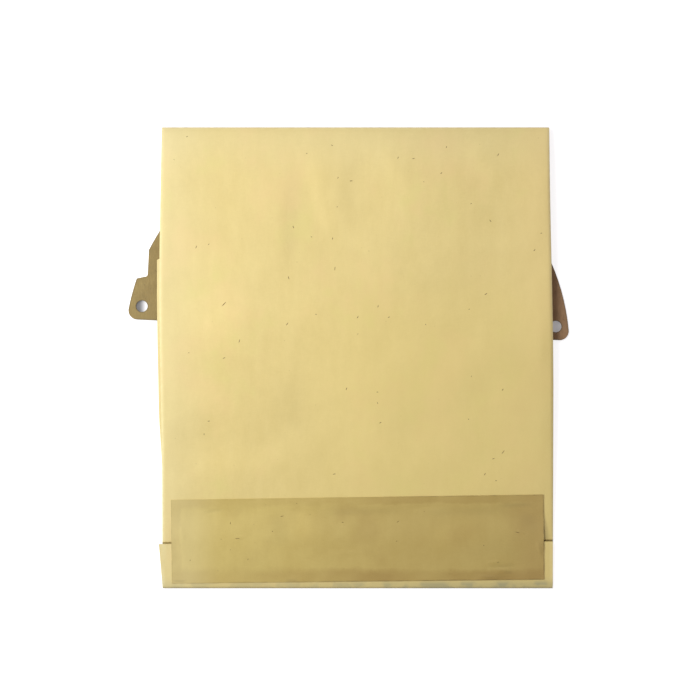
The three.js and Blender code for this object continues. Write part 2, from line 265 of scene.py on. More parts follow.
def gusset_depth(y):
    opened = GUSSET * ease((y - PRESSED_Y) / MOUTH_FOLD)
    return np.maximum(NOSE_RADIUS, np.minimum(opened, BASE_Y - y))


def face_relief(x, y, inset):
    """What waves and creases add to the face; it lies calm by the base, the flap and the sides."""
    calm = ease((BASE_Y - y) / 12) * ease((y - FLAP_EDGE_Y - 4) / 26) * ease(inset / 9)
    waves = sum(height * swell(x, y, length, seed) for height, length, seed in FACE_WAVES)
    return calm * (waves + ridge_sum(x, y, FACE_CREASES))


def flap_edge(x):
    """The flap is folded a little askew, so its free edge lies lower at the left."""
    return FLAP_EDGE_Y - FLAP_TILT * (0.5 - x / BAG_WIDTH)


def slit(x, y, inset):
    """1 in the gap beside the flap's free edge, where the closing strip doesn't reach."""
    return np.exp(-(((y - flap_edge(x) - 0.55) / 0.5) ** 2)) * (1 - ease((inset - 6.5) / 2))


def face_height(x, y):
    side_inset = np.where(x < 0, face_edge(-1, y), face_edge(1, y)) - np.abs(x)
    inset = np.maximum(0, side_inset)
    wide = np.maximum(0, 1 - inset / EDGE_BAND) ** 2
    narrow = np.maximum(0, 1 - inset / FOLD_BAND) ** 2
    rolled = bag_depth(y) * (WIDE_ROLL * wide + NARROW_ROLL * narrow)
    return crest_height(y) - rolled + face_relief(x, y, inset) - GAP_DEPTH * slit(x, y, inset)


def flap_wave(x, y):
    height, length, seed = FLAP_WAVE
    return height * swell(x, y, length, seed) * ease((y - TURN_Y) / 8)


# Points across half of the bag: inset from the side fold, then shares of what is left
BAND_INSETS = np.array([12, 10, 8.2, 6.8, 5.6, 4.7, 3.9, 3.2, 2.5, 1.9, 1.4, 0.95])
FACE_SHARES = np.linspace(0, 1, 48)[:-1]
GUSSET_SHARES = (0.12, 0.3, 0.5, 0.7, 0.88, 0.97)


def section_sizes(side, y):
    """The face's and the lower panel's edge, the panel's height, depth, gusset and edge height."""
    upper = float(face_edge(side, y))
    sizes = (panel_edge(side, y), underside_height(y), bag_depth(y), gusset_depth(y))
    return upper, *map(float, sizes), float(face_height(side * upper, y))


def side_fold(edge, middle, fold, degrees):
    turns = np.radians(degrees)
    return [(edge - fold + fold * math.sin(t), middle + fold * 0.75 * math.cos(t)) for t in turns]


def outer_half(side, y):
    """Half of the tube's outer section, from the middle of the face round to the lower panel."""
    upper, lower, low, depth, reach, top = section_sizes(side, y)
    fold = min(SIDE_FOLD, depth / 10)
    across = np.concatenate([FACE_SHARES * (upper - EDGE_BAND), upper - BAND_INSETS])
    points = list(zip(across, face_height(side * across, np.full_like(across, y))))
    points += side_fold(upper, top - fold * 0.75, fold, (28, 58, 90, 125, 160))
    leaf_top = top - 1.5 * fold
    rise = PANEL_ROLL * depth
    leaf_low = low + rise + 1.5 * fold
    middle = (leaf_top + leaf_low) / 2
    for share in GUSSET_SHARES:
        points.append((upper - fold - share * (reach - fold), mix(leaf_top, middle, share**1.15)))
    points.append((upper - reach - 0.01, middle))
    for share in GUSSET_SHARES[::-1]:
        points.append((lower - fold - share * (reach - fold), mix(leaf_low, middle, share**1.15)))
    points += side_fold(lower, low + rise + fold * 0.75, fold, (20, 55, 90, 122, 152))
    for inset in BAND_INSETS[::-2]:
        points.append((lower - inset, low + rise * (1 - inset / EDGE_BAND) ** 2))
    points += [(share * (lower - EDGE_BAND), low) for share in FACE_SHARES[::-3]]
    return points


INNER_BAND = (12, 6, 3)
INNER_SHARES = np.linspace(0, 1, 25)[:-1]


def inner_half(side, y):
    """The same half of the hollow."""
    upper, lower, low, depth, reach, top = section_sizes(side, y)
    rise = PANEL_ROLL * depth
    bottom = low + rise
    middle = (top + bottom) / 2
    inset_apex = PAPER * reach / max(PAPER, top - PAPER - middle)
    across = np.concatenate([INNER_SHARES * (upper - EDGE_BAND), upper - np.array(INNER_BAND)])
    points = list(zip(across, face_height(side * across, np.full_like(across, y)) - WALL))
    points.append((upper - 5 * PAPER, top - 0.2))
    points.append((upper - reach - inset_apex, middle))
    points.append((lower - 5 * PAPER, bottom + 0.2))
    for inset in INNER_BAND[::-1]:
        points.append((lower - inset, low + PAPER + rise * (1 - inset / EDGE_BAND) ** 2))
    points += [(share * (lower - EDGE_BAND), low + PAPER) for share in INNER_SHARES[::-1]]
    return points


def section(half, y):
    right = [(x, y, z) for x, z in half(1, y)]
    left = [(-x, y, z) for x, z in reversed(half(-1, y))]
    return right + left


def add_object(name, data):
    made = bpy.data.objects.new(name, data)
    bpy.context.scene.collection.objects.link(made)
    return made


def object_from(name, points, faces):
    """A mesh object at the origin, from points in mm about the bag's middle."""
    mesh = bpy.data.meshes.new(name)
    placed = [((x + BAG_X) * MM, y * MM, z * MM) for x, y, z in points]
    mesh.from_pydata(placed, [], faces)
    mesh.update()
    return add_object(name, mesh)


def face_outwards(made):
    shape = bmesh.new()
    shape.from_mesh(made.data)
    bmesh.ops.recalc_face_normals(shape, faces=shape.faces)
    shape.to_mesh(made.data)
    shape.free()
    return made


def paired_cap(count, start, turned):
    """Quads over a loop whose points pair up across it, the first with the last."""
    quads = []
    for i in range(count // 2 - 1):
        quad = [start + i, start + i + 1, start + count - 2 - i, start + count - 1 - i]
        quads.append(quad[::-1] if turned else quad)
    return quads


def closed_loft(name, loops, paired=True):
    """A closed body through loops with the same number of points."""
    count = len(loops[0])
    points = [point for loop in loops for point in loop]
    faces = []
    for row in range(len(loops) - 1):
        for i in range(count):
            a = row * count + i
            b = row * count + (i + 1) % count
            faces.append((a, b, b + count, a + count))
    last = (len(loops) - 1) * count
    if paired:
        faces += paired_cap(count, 0, True) + paired_cap(count, last, False)
    else:
        faces += [tuple(range(count))[::-1], tuple(range(last, last + count))]
    return face_outwards(object_from(name, points, faces))


def across_bag(name, profile, ends, columns, lift=None):
    """A profile in Y and Z, run across the bag between two ends that may lean."""
    left = np.array([ends[0](y) for y, z in profile])
    right = np.array([ends[1](y) for y, z in profile])
    y, z = np.array(profile).T
    loops = []
    for share in np.linspace(0, 1, columns + 1):
        x = mix(left, right, share)
        loops.append(list(zip(x, y, z + lift(x, y) if lift else z)))
    return closed_loft(name, loops, paired=False)


def box_body(name, low, high):
    corners = list(itertools.product(*zip(low, high)))
    sides = [(0, 1, 3, 2), (4, 6, 7, 5), (0, 4, 5, 1), (2, 3, 7, 6), (0, 2, 6, 4), (1, 5, 7, 3)]
    return face_outwards(object_from(name, corners, sides))


def disc_body(name, centre, radius, low, high):
    turns = np.linspace(0, 2 * math.pi, HOLE_SIDES + 1)[:-1]
    ring = [(centre[0] + radius * math.cos(t), centre[1] + radius * math.sin(t)) for t in turns]
    return closed_loft(name, [[(x, y, z) for x, y in ring] for z in (low, high)], paired=False)


def take_mesh(made):
    """Turns what the object's modifiers give into its own plain mesh."""
    seen = made.evaluated_get(bpy.context.evaluated_depsgraph_get())
    plain = bpy.data.meshes.new_from_object(seen)
    old = made.data
    made.modifiers.clear()
    made.data = plain
    bpy.data.meshes.remove(old)
    return made


def combine(body, tool, how):
    """Joins a closed body with another, or cuts the other out of it."""
    step = body.modifiers.new("combine", "BOOLEAN")
    step.operation = how
    step.solver = "MANIFOLD"
    step.object = tool
    bpy.context.view_layer.update()
    take_mesh(body)
    bpy.data.objects.remove(tool)


def add_shells(body, others):
    """Puts further closed shells into the body's own mesh."""
    shape = bmesh.new()
    shape.from_mesh(body.data)
    for other in others:
        shape.from_mesh(other.data)
        bpy.data.objects.remove(other)
    shape.to_mesh(body.data)
    shape.free()
    return body


def spaced(low, high, gap):
    count = max(1, round((high - low) / gap))
    return list(np.linspace(low, high, count + 1)[:-1])


def bag_stations():
    rows = spaced(TURN_Y, FLAP_EDGE_Y - 2, 4.5) + spaced(FLAP_EDGE_Y - 2, FLAP_EDGE_Y + 1.7, 0.26)
    rows += spaced(FLAP_EDGE_Y + 1.8, BASE_EDGE_Y - 2, 2.6)
    rows += [BASE_EDGE_Y - step for step in (2, 1.2, 0.8, 0.4, 0)]
    rows += spaced(BASE_EDGE_Y + 2.5, BASE_Y - 14, 2.8)
    return rows + [BASE_Y - step for step in NOSE_STEPS]


def arc_path(y, z, radius, start, end, count):
    turns = np.radians(np.linspace(start, end, count + 1))
    return [(y + radius * math.cos(t), z + radius * math.sin(t)) for t in turns]


def folded_base():
    """The rectangle folded back under the bag, its return, and the turn up into the lower panel."""

    def end(side):
        return lambda y: side * (float(face_edge(side, max(y, INLET_Y))) - BASE_PLY)

    turn = (RETURN_TOP - BASE_LIFT) / 2
    profile = (
        arc_path(BASE_EDGE_Y + turn, BASE_LIFT + turn, turn, 90, 270, 10)
        + arc_path(BASE_Y - NOSE_RADIUS, BASE_LIFT + NOSE_RADIUS, NOSE_RADIUS, -90, 0, 8)
        + [(BASE_Y, PANEL_LIFT + PAPER / 2), (INLET_Y - PAPER, PANEL_LIFT + PAPER / 2)]
        + [(INLET_Y - PAPER, RETURN_TOP)]
    )
    return across_bag("base", profile, (end(-1), end(1)), 1)


def mouth_ply(number):
    """One layer of the mouth, turned over its fold onto the face; the outermost is number 0."""
    inset = number * PLY_PITCH
    edge = FLAP_EDGE_Y + PLY_ENDS[number]
    along = spaced(PRESSED_Y, edge - 0.5, 2.8) + [edge - 0.5, edge]
    top = [(y, float(crest_height(y)) + CREASE + MOUTH_STACK - inset) for y in along]
    under = [(y, z - PAPER) for y, z in top][::-1]
    outer = arc_path(TURN_Y, TURN_RADIUS, TURN_RADIUS - inset, 270, 90, 14)
    inner = arc_path(TURN_Y, TURN_RADIUS, TURN_RADIUS - inset - PAPER, 90, 270, 14)
    profile = outer + top + under + inner

    def skew(y):
        return FLAP_SKEW * (y - MOUTH_Y) / MOUTH_FOLD

    def left(y):
        return FLAP_TRIM + PLY_INSETS[number] - float(face_edge(-1, y)) - skew(y)

    def right(y):
        return float(face_edge(1, y)) - FLAP_TRIM - PLY_INSETS[number]

    made = across_bag(f"ply{number}", profile, (left, right), PLY_COLUMNS, flap_wave)
    for point in made.data.vertices:
        along = max(0, point.co.y / MM - PRESSED_Y) / (FLAP_EDGE_Y - PRESSED_Y)
        tilted = flap_edge(point.co.x / MM - BAG_X) - FLAP_EDGE_Y
        point.co.y += along * tilted * MM
    return made


def paper_bag():
    rows = bag_stations()
    bag = closed_loft("paper_bag_folded", [section(outer_half, y) for y in rows])
    combine(bag, folded_base(), "UNION")
    hollow_start = mix(MOUTH_Y, FLAP_EDGE_Y, 0.85)
    hollow_end = BASE_Y - NOSE_WALL
    inside = [y for y in rows[::2] if hollow_start + 1 < y < hollow_end - 0.5]
    loops = [section(inner_half, y) for y in [hollow_start, *inside, hollow_end]]
    combine(bag, closed_loft("hollow", loops), "DIFFERENCE")
    floor = BASE_LIFT + BASE_PLY
    reach = float(min(face_edge(-1, BASE_Y), face_edge(1, BASE_Y))) - 4 * PAPER
    opening = reach - EDGE_BAND / 2
    pocket_start = BASE_EDGE_Y + BASE_PLY + PAPER
    far_corner = (reach, INLET_Y + PAPER, RETURN_LIFT)
    pocket = box_body("pocket", (-reach, pocket_start, floor), far_corner)
    combine(bag, pocket, "DIFFERENCE")
    far_corner = (opening, hollow_end, PANEL_LIFT + WALL)
    way_up = box_body("way_up", (-opening, INLET_Y, floor), far_corner)
    combine(bag, way_up, "DIFFERENCE")
    hole = disc_body("hole", (INLET_X, INLET_Y), INLET_RADIUS, COLLAR_THICKNESS, floor + CREASE / 2)
    combine(bag, hole, "DIFFERENCE")
    return add_shells(bag, [mouth_ply(number) for number in range(MOUTH_PLIES)])


def strip_place(u, v, lift):
    """A point of the strip, u along it and v across it; it lies on the flap and on the face."""
    v = v - STRIP_TAPER * (0.5 - u / STRIP_LENGTH) * (0.5 + v / STRIP_WIDTH)
    x = STRIP_X + u * math.cos(STRIP_TURN) - v * math.sin(STRIP_TURN)
    y = STRIP_Y + u * math.sin(STRIP_TURN) + v * math.cos(STRIP_TURN)
    on_flap = 1 - ease((y - flap_edge(x) - CREASE) / STRIP_RAMP)
    flap_top = crest_height(y) + CREASE + MOUTH_STACK + flap_wave(x, y)
    rim = 1 - ease(np.minimum(STRIP_LENGTH / 2 - abs(u), STRIP_WIDTH / 2 - abs(v)) / 9)
    cockle = (0.05 + 0.09 * rim) * (1 + swell(x, y, 11, 57)) * 0.5
    height = mix(face_height(x, y), flap_top, on_flap) + STRIP_GLUE + cockle
    return x, y, height + ridge_sum(x, y, STRIP_PUCKERS) + lift


def closing_strip():
    across = np.linspace(STRIP_LENGTH / 2, -STRIP_LENGTH / 2, STRIP_COLUMNS)
    along = np.linspace(-STRIP_WIDTH / 2, STRIP_WIDTH / 2, STRIP_ROWS)
    loops = []
    for v in along:
        under = zip(*strip_place(across, v, 0))
        over = zip(*strip_place(across[::-1], v, STRIP_PAPER))
        loops.append(list(under) + list(over))
    return closed_loft("closing_strip_glued", loops)


# Node helpers
class Value:
    """A socket in a node tree; arithmetic on it makes Math nodes."""

    def __init__(self, tree, socket):
        self.tree = tree
        self.socket = socket

    def __add__(self, other):
        return calc(self.tree, "ADD", self, other)

    def __sub__(self, other):
        return calc(self.tree, "SUBTRACT", self, other)

    def __rsub__(self, other):
        return calc(self.tree, "SUBTRACT", other, self)

    def __mul__(self, other):
        return calc(self.tree, "MULTIPLY", self, other)


def add_node(tree, kind, **values):
    """A node with values in its named inputs; a low line stands for a space in a name."""
    node = tree.nodes.new(kind)
    for name, value in values.items():
        node.inputs[name.replace("_", " ")].default_value = value
    return node


def join(tree, *links):
    for start, end in links:
        tree.links.new(start, end)


def wire(tree, value, socket):
    """Sets a socket to a number or a colour, or links a value to it."""
    if isinstance(value, (int, float, tuple)):
        socket.default_value = value
    else:
        tree.links.new(value.socket, socket)


def calc(tree, operation, *values, clamp=False):
    node = tree.nodes.new("ShaderNodeMath")
    node.operation = operation
    node.use_clamp = clamp
    for value, socket in zip(values, node.inputs):
        wire(tree, value, socket)
    return Value(tree, node.outputs[0])


def clamped(value):
    return calc(value.tree, "ADD", value, 0.0, clamp=True)


def largest(*values, operation="MAXIMUM"):
    return functools.reduce(lambda a, b: calc(a.tree, operation, a, b), values)


def smallest(*values):
    return largest(*values, operation="MINIMUM")


def source(tree, kind, output, **settings):
    """What a node without linked inputs puts out."""
    node = tree.nodes.new(kind)
    for key, value in settings.items():
        setattr(node, key, value)
    return Value(tree, node.outputs[output])


def object_position(tree):
    return source(tree, "ShaderNodeTexCoord", "Object")


def mark(tree, name):
    """A value that the mesh carries at each of its points."""
    return source(tree, "ShaderNodeAttribute", "Fac", attribute_name=name)


def parts_of(vector):
    node = add_node(vector.tree, "ShaderNodeSeparateXYZ")
    wire(vector.tree, vector, node.inputs["Vector"])
    return [Value(vector.tree, socket) for socket in node.outputs]


def facing_up(tree):
    """The upward part of the surface's direction, -1 to 1."""
    return parts_of(source(tree, "ShaderNodeNewGeometry", "Normal"))[2]


def ramp(value, low, high):
    """0 below low, 1 above high, smooth between."""
    node = add_node(value.tree, "ShaderNodeMapRange", From_Min=low, From_Max=high)
    node.interpolation_type = "SMOOTHSTEP"
    wire(value.tree, value, node.inputs["Value"])
    return Value(value.tree, node.outputs["Result"])


def noise(position, scale, detail, roughness, stretch=None, turn=0.0):
    """Noise, about 0 to 1, over a position in metres, optionally stretched along a direction."""
    tree = position.tree
    if stretch:
        mapping = add_node(tree, "ShaderNodeMapping", Rotation=(0, 0, turn), Scale=stretch)
        wire(tree, position, mapping.inputs["Vector"])
        position = Value(tree, mapping.outputs["Vector"])
    node = add_node(tree, "ShaderNodeTexNoise", Scale=scale, Detail=detail, Roughness=roughness)
    wire(tree, position, node.inputs["Vector"])
    return Value(tree, node.outputs["Fac"])


def blend(share, first, second):
    """The first colour where the share is 0, the second where it is 1."""
    node = add_node(share.tree, "ShaderNodeMix")
    node.data_type = "RGBA"
    for place, value in ((0, share), (6, first), (7, second)):
        wire(share.tree, value, node.inputs[place])
    return Value(share.tree, node.outputs[2])


def scaled(colour, factor):
    node = add_node(colour.tree, "ShaderNodeVectorMath")
    node.operation = "SCALE"
    wire(colour.tree, colour, node.inputs["Vector"])
    wire(colour.tree, factor, node.inputs["Scale"])
    return Value(colour.tree, node.outputs["Vector"])


def tint(red, green, blue):
    """A colour given as it looks on screen, 0 to 255, turned into light."""
    shares = [level / 255 for level in (red, green, blue)]
    light = [s / 12.92 if s <= 0.04045 else ((s + 0.055) / 1.055) ** 2.4 for s in shares]
    return (*light, 1.0)


def new_material(name):
    material = bpy.data.materials.new(name)
    material.use_nodes = True
    tree = material.node_tree
    return material, tree, tree.nodes["Principled BSDF"]


def finish_material(tree, colour, rough, specular, height, depth, strength):
    """Joins what a material has worked out to its shader; depth is the bump's, in metres."""
    shader = tree.nodes["Principled BSDF"]
    bump = add_node(tree, "ShaderNodeBump", Strength=strength, Distance=depth)
    shader.inputs["Specular IOR Level"].default_value = specular
    wire(tree, height, bump.inputs["Height"])
    wire(tree, Value(tree, bump.outputs["Normal"]), shader.inputs["Normal"])
    wire(tree, colour, shader.inputs["Base Color"])
    wire(tree, rough, shader.inputs["Roughness"])


# Materials
def paper_fibre_group():
    """Pulp clouds, fine fibres and specks that every paper here shares."""
    group = bpy.data.node_groups.new("paper_fibre", "ShaderNodeTree")
    for way, kind, names in (
        ("INPUT", "Vector", ("Position",)),
        ("INPUT", "Color", ("Pale", "Deep", "Speck")),
        ("INPUT", "Float", ("Cloud", "Fibre", "Specks")),
        ("OUTPUT", "Color", ("Colour",)),
        ("OUTPUT", "Float", ("Roughness", "Height")),
    ):
        for name in names:
            group.interface.new_socket(name, in_out=way, socket_type=f"NodeSocket{kind}")
    entry = group.nodes.new("NodeGroupInput")
    result = group.nodes.new("NodeGroupOutput")
    given = {socket.name: Value(group, socket) for socket in entry.outputs}
    position = given["Position"]
    toning = noise(position, 11, 2, 0.5)
    cloud = noise(position, 62, 5, 0.62)
    streak = noise(position, 150, 3, 0.55, stretch=(1, 0.28, 1), turn=0.12)
    along = noise(position, 1500, 2, 0.5, stretch=(1, 0.22, 1), turn=0.5)
    athwart = noise(position, 1350, 2, 0.5, stretch=(0.24, 1, 1), turn=0.3)
    fibres = along * athwart
    soft = (toning - 0.5) * 0.6 + (cloud - 0.5) * given["Cloud"] + (streak - 0.5) * 0.45 + 0.5
    full = (fibres - 0.25) * given["Fibre"] + soft
    colour = blend(clamped(full), given["Deep"], given["Pale"])
    spots = add_node(group, "ShaderNodeTexVoronoi", Scale=230, Randomness=1)
    wire(group, position, spots.inputs["Vector"])
    near = 1 - ramp(Value(group, spots.outputs["Distance"]), 0.05, 0.13)
    rare = ramp(noise(position, 310, 1, 0.5), 0.6, 0.7)
    colour = blend(near * rare * given["Specks"], colour, given["Speck"])
    wire(group, colour, result.inputs["Colour"])
    wire(group, cloud * 0.14 + fibres * 0.1 + 0.54, result.inputs["Roughness"])
    wire(group, fibres * 0.55 + cloud * 0.6, result.inputs["Height"])
    return group


def use_paper(tree, fibre_group, **values):
    """Places the shared group; gives its colour, roughness and height."""
    node = tree.nodes.new("ShaderNodeGroup")
    node.node_tree = fibre_group
    wire(tree, object_position(tree), node.inputs["Position"])
    for name, value in values.items():
        node.inputs[name].default_value = value
    return [Value(tree, node.outputs[name]) for name in ("Colour", "Roughness", "Height")]


def back_seam(position):
    """The tube's long glued overlap, which runs along its underside and ends in one cut edge."""
    across = parts_of(position)[0] - SEAM_X * MM + noise(position, 16, 1, 0.5) * 0.0016
    start = ramp(across, -0.0001, 0.0001)
    edge = start * (1 - ramp(across, 0.0004, 0.0007))
    overlap = start * (1 - ramp(across, 0.010, 0.0125))
    glue = ramp(noise(position, 75, 3, 0.6), 0.3, 0.7) * 0.25 + 0.12
    downward = 1 - ramp(facing_up(position.tree), -0.8, -0.5)
    return downward * largest(overlap * glue, edge)


def straw_paper(fibre_group):
    """The bag's paper: worn folds, soft patches of hue, its seam, and painted light and shade on
    the face, the mouth's fold and the flap's gap.
    """
    material, tree, _ = new_material("straw_filter_paper")
    pulp, rough, height = use_paper(
        tree, fibre_group, Cloud=0.55, Fibre=0.5, Specks=0.35,
        Pale=tint(227, 207, 138), Deep=tint(207, 185, 112), Speck=tint(160, 132, 72),
    )
    position = object_position(tree)
    x, y, _ = parts_of(position)
    patchy = ramp(noise(position, 260, 3, 0.6), 0.3, 0.7)
    colour = blend(mark(tree, "fold_wear") * (patchy * 0.45 + 0.3), pulp, tint(240, 230, 176))
    dappled = noise(position, 120, 3, 0.6) * 0.07 - 0.035
    # paler and darker patches on the face, and finer dappling
    colour = scaled(colour, mark(tree, "face_tone") * 0.07 + dappled + 1)
    warm = ramp(noise(position, 24, 3, 0.6), 0.5, 0.72)
    green = ramp(noise(position, 31, 3, 0.6), 0.54, 0.74)
    # Painted light and shade on the face, by place: a paler sheen towards the lit left side and the
    # base, a brighter, warmer upper right, and a deeper, more saturated lower face where less light
    # falls
    painted_sheen_left = 1 - ramp(x, -0.128, -0.08)
    painted_light_right = ramp(x, 0.09, 0.13) * ramp(y, -0.05, 0.03)
    painted_sheen_base = ramp(y, 0.112, 0.15)
    painted_shade_lower_face = ramp(x, -0.07, 0.03) * (1 - ramp(y, -0.02, 0.1))
    facets = ramp(noise(position, 120, 2, 0.5), 0.4, 0.62)
    for share, hue in (
        (warm * 0.32, tint(226, 194, 132)),
        (green * 0.28, tint(206, 198, 112)),
        # painted sheen to the left and at the base, painted light at the upper right, painted shade
        # on the lower face
        (painted_sheen_left * 0.22 + painted_sheen_base * 0.14, tint(226, 219, 176)),
        (painted_light_right * 0.28, tint(250, 222, 152)),
        (painted_shade_lower_face * 0.42, tint(222, 200, 118)),
        # painted shade along the mouth's fold, broken by lighter facets
        (mark(tree, "mouth_fold_shade") * (facets * 0.5 + 0.5), tint(150, 146, 110)),
        (back_seam(position), tint(166, 142, 84)),
        # painted shade in the slit beside the flap's free edge
        (mark(tree, "flap_gap_shade") * 0.85, tint(112, 92, 40)),
    ):
        colour = blend(share, colour, hue)
    finish_material(tree, colour, rough, 0.7, height, 0.00009, 0.55)
    return material


def strip_paper(fibre_group):
    """Glued strip: darker where the glue has soaked in, in bands along its edges."""
    material, tree, _ = new_material("olive_glued_strip")
    pulp, rough, height = use_paper(
        tree, fibre_group, Cloud=0.9, Fibre=0.45, Specks=0.5,
        Pale=tint(206, 186, 109), Deep=tint(185, 162, 83), Speck=tint(132, 108, 52),
    )
    u, v, _ = parts_of(source(tree, "ShaderNodeUVMap", "UV", uv_map="strip_run"))
    position = object_position(tree)
    wander = noise(position, 90, 4, 0.6) * 0.007 - 0.0035

    def band(value, edge, soft):
        return 1 - ramp(value + wander, edge - soft, edge + soft)

    from_top = STRIP_WIDTH * MM - v
    from_right = STRIP_LENGTH * MM - u
    rightward = ramp(u, 0.04, 0.16)
    glue = largest(
        band(from_top, 0.0062, 0.0022) * (rightward * 0.28 + 0.18),
        band(u, 0.0062, 0.0010) * 0.2,
        band(from_right, 0.016, 0.009) * 0.34,
        band(v, 0.0085, 0.0040) * (rightward * 0.4 + 0.28),
    )
    strength = ramp(noise(position, 26, 2, 0.5), 0.3, 0.66) * 0.45 + 0.72
    blots = ramp(noise(position, 34, 3, 0.5), 0.5, 0.68) * 0.14 + rightward * 0.34
    glue = largest(glue * strength, blots)
    colour = blend(glue, pulp, tint(146, 115, 45))
    colour = blend((1 - ramp(u, 0.008, 0.035)) * 0.26, colour, tint(222, 210, 160))
    colour = blend(band(from_right, 0.018, 0.012) * 0.34, colour, tint(160, 128, 68))
    colour = scaled(colour, 1 - mark(tree, "glue_patch") * 0.14)
    broken = ramp(noise(position, 140, 2, 0.5), 0.44, 0.58) * 0.45 + 0.12
    edging = 1 - ramp(smallest(u, v, from_top, from_right), 0.0002, 0.0009)
    colour = blend(edging * broken * (rightward * 0.7 + 0.3), colour, tint(118, 94, 40))
    finish_material(tree, colour, glue * -0.08 + rough, 0.7, height, 0.00012, 0.6)
    return material


def collar_board():
    """Grey-brown die-cut board: fibres, plies on the cut, and painted shade on the pressed rim,
    round the holes and on the right tab.
    """
    material, tree, _ = new_material("die_cut_board")
    position = object_position(tree)
    arc_x = (BAG_X + INLET_X - ARC_Y * math.sin(COLLAR_TURN)) * MM
    arc_y = (INLET_Y + ARC_Y * math.cos(COLLAR_TURN)) * MM
    turned = add_node(
        tree, "ShaderNodeMapping", Location=(arc_x, arc_y, 0), Rotation=(0, 0, COLLAR_TURN)
    )
    turned.vector_type = "TEXTURE"
    wire(tree, position, turned.inputs["Vector"])
    x, y, z = parts_of(Value(tree, turned.outputs["Vector"]))

    def distance_from(px, py):
        dx, dy = x - px * MM, y - py * MM
        return calc(tree, "SQRT", dx * dx + dy * dy)

    hole_y = TAB_HOLE_Y - ARC_Y
    holes = smallest(distance_from(TAB_HOLE_X, hole_y), distance_from(-TAB_HOLE_X, hole_y))
    # Painted shade along the board's rounded, pressed edges and round the tab holes
    rim = largest(
        ramp(distance_from(0, 0), (COLLAR_RADIUS - 1.1) * MM, COLLAR_RADIUS * MM),
        ramp((CHORD_Y - ARC_Y + 1.3) * MM - y, 0, 0.0013),
        1 - ramp(holes, TAB_HOLE_RADIUS * MM, (TAB_HOLE_RADIUS + 0.95) * MM),
    )
    clouds = noise(position, 90, 4, 0.6)
    fibres = noise(position, 1100, 3, 0.6, stretch=(1, 0.3, 1), turn=0.9)
    grain = clamped((fibres - 0.5) * 0.9 + clouds)
    # Painted shade: the board turns from the lit tone of the left tab to the pinker tone that the
    # right tab has in the bag's shade
    lit_tab_board = blend(grain, tint(125, 106, 61), tint(162, 142, 91))
    shaded_tab_board = blend(grain, tint(134, 104, 70), tint(174, 139, 103))
    colour = blend(ramp(parts_of(position)[0], -0.13, 0.13), lit_tab_board, shaded_tab_board)
    specks = ramp(noise(position, 700, 2, 0.5), 0.66, 0.74)
    colour = blend(specks * 0.5, colour, tint(92, 74, 50))
    # painted shade along the rim and round the holes
    colour = blend(rim * 0.55, colour, tint(112, 100, 70))
    plies = calc(tree, "SINE", z * (2 * math.pi / BOARD_PLY))
    cut_colour = blend(plies * 0.3 + 0.45, tint(112, 96, 70), tint(158, 142, 110))
    flatness = calc(tree, "ABSOLUTE", facing_up(tree))
    colour = blend(1 - ramp(flatness, 0.25, 0.6), colour, cut_colour)
    height = fibres * 0.7 + clouds * 0.5
    finish_material(tree, colour, clouds * 0.2 + 0.62, 0.4, height, 0.00012, 0.7)
    return material


def seal_rubber():
    """Dull dark rubber with a bloom and a little dust."""
    material, tree, _ = new_material("moulded_rubber")
    position = object_position(tree)
    bloom = ramp(noise(position, 130, 4, 0.6), 0.45, 0.8)
    dust = ramp(noise(position, 1600, 2, 0.6), 0.62, 0.8)
    colour = blend(bloom * 0.5, tint(40, 40, 39), tint(62, 61, 58))
    colour = blend(dust * 0.35, colour, tint(126, 116, 92))
    height = noise(position, 2200, 3, 0.6)
    finish_material(tree, colour, bloom * 0.18 + 0.48, 0.45, height, 0.00008, 0.5)
    return material


def fibre_brown(name, colour):
    material, tree, shader = new_material(name)
    shade = noise(object_position(tree), 900, 2, 0.5)
    paler = tuple(min(1.0, channel * 1.7) for channel in colour[:3]) + (1.0,)
    wire(tree, blend(shade, colour, paler), shader.inputs["Base Color"])
    shader.inputs["Roughness"].default_value = 0.7
    return material


# Geometry Nodes
def node_modifier(made, tree, values):
    """Puts a tree on the object and sets its named inputs."""
    step = made.modifiers.new(tree.name, "NODES")
    step.node_group = tree
    for socket in tree.interface.items_tree:
        if socket.item_type == "SOCKET" and socket.in_out == "INPUT" and socket.name in values:
            step[socket.identifier] = values[socket.name]
    return take_mesh(made)


def new_tree(name, inputs):
    tree = bpy.data.node_groups.new(name, "GeometryNodeTree")
    tree.interface.new_socket("Geometry", in_out="INPUT", socket_type="NodeSocketGeometry")
    for socket, kind, value in inputs:
        made = tree.interface.new_socket(socket, in_out="INPUT", socket_type=kind)
        if value is not None:
            made.default_value = value
    tree.interface.new_socket("Geometry", in_out="OUTPUT", socket_type="NodeSocketGeometry")
    return tree, tree.nodes.new("NodeGroupInput"), tree.nodes.new("NodeGroupOutput")


def finish_tree(tree, given, result, shape):
    """Every tree ends in real faces with their material on them."""
    real = add_node(tree, "GeometryNodeRealizeInstances")
    dressed = add_node(tree, "GeometryNodeSetMaterial")
    join(
        tree,
        (shape, real.inputs[0]),
        (real.outputs[0], dressed.inputs["Geometry"]),
        (given.outputs["Material"], dressed.inputs["Material"]),
        (dressed.outputs[0], result.inputs[0]),
    )
    return tree


def seal_tree():
    """The seal's profile, carried round a circle."""
    inputs = [("Radius", "NodeSocketFloat", 0.029), ("Steps", "NodeSocketInt", 128)]
    tree, given, result = new_tree("seal_ring", inputs + [("Material", "NodeSocketMaterial", None)])
    outline = add_node(tree, "GeometryNodeMeshToCurve")
    rail = add_node(tree, "GeometryNodeCurvePrimitiveCircle")
    sweep = add_node(tree, "GeometryNodeCurveToMesh")
    join(
        tree,
        (given.outputs["Geometry"], outline.inputs["Mesh"]),
        (given.outputs["Radius"], rail.inputs["Radius"]),
        (given.outputs["Steps"], rail.inputs["Resolution"]),
        (rail.outputs["Curve"], sweep.inputs["Curve"]),
        (outline.outputs["Curve"], sweep.inputs["Profile Curve"]),
    )
    return finish_tree(tree, given, result, sweep.outputs["Mesh"])


